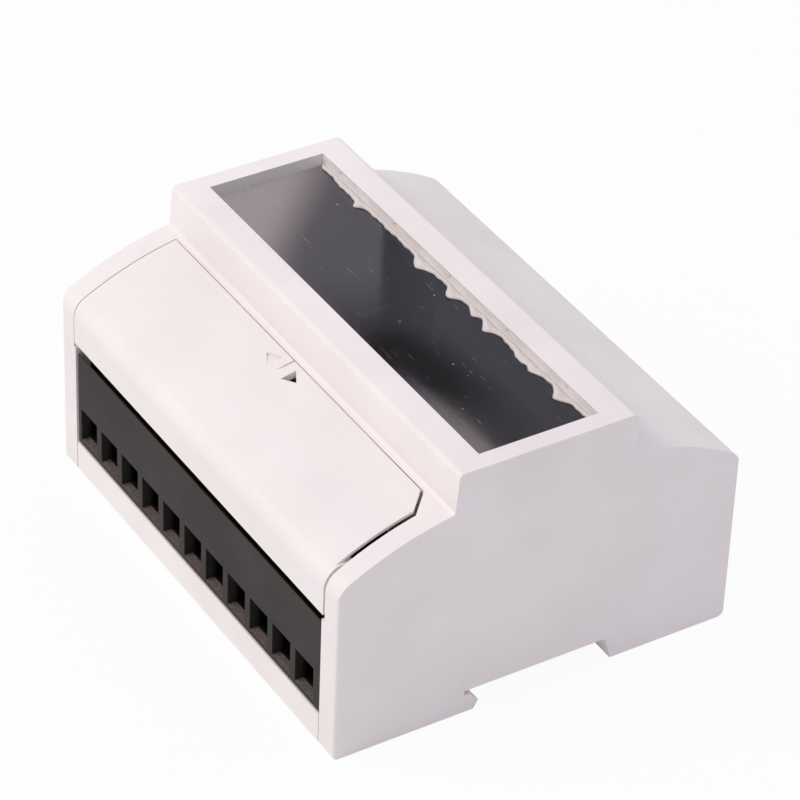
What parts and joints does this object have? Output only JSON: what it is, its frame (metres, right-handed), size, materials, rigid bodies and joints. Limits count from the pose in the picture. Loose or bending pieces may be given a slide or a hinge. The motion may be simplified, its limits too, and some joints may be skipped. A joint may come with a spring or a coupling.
{
  "type": "din rail enclosure",
  "caption": "White moulded DIN rail enclosure with a smoked window, a hinged cover over a black screw terminal strip, and a sprung rail latch.",
  "frame": {"origin": "middle of the underside", "axes": "+X along the rail; -Y the front, with its hinged cover; +Z away from the rail, towards the window"},
  "size_m": [0.121, 0.0996, 0.0645],
  "materials": {
    "housing_white": "fine satin moulding",
    "base_white": "fine satin moulding",
    "smoked_pane": "polished smoked acrylic",
    "terminal_black": "satin black moulding",
    "zinc_steel": "zinc plated",
    "black_steel": "blackened",
    "spring_steel": "drawn wire",
    "tinned_brass": "tinned"
  },
  "bodies": {
    "housing": {"upper_housing": "housing_white", "base_shell": "base_white", "window_pane": "smoked_pane", "latch_spring": "spring_steel", "front_terminal_block": "terminal_black", "front_terminal_screws": "zinc_steel", "front_wire_clamps": "black_steel", "front_contacts": "tinned_brass"},
    "front_cover": {"front_terminal_cover": "housing_white"},
    "latch": {"din_latch": "base_white"}
  },
  "joints": [
    {"name": "front_cover_hinge", "type": "hinge", "parent": "housing", "child": "front_cover", "pos_m": [0, -0.0473, 0.0382], "axis": [1, 0, 0], "range_deg": [0, 105]},
    {"name": "latch_slide", "type": "slide", "parent": "housing", "child": "latch", "axis": [0, 1, 0], "range_m": [0, 0.004], "stiffness_N_per_m": 1200, "springref_m": -0.002, "deforming": ["latch_spring"]}
  ]
}
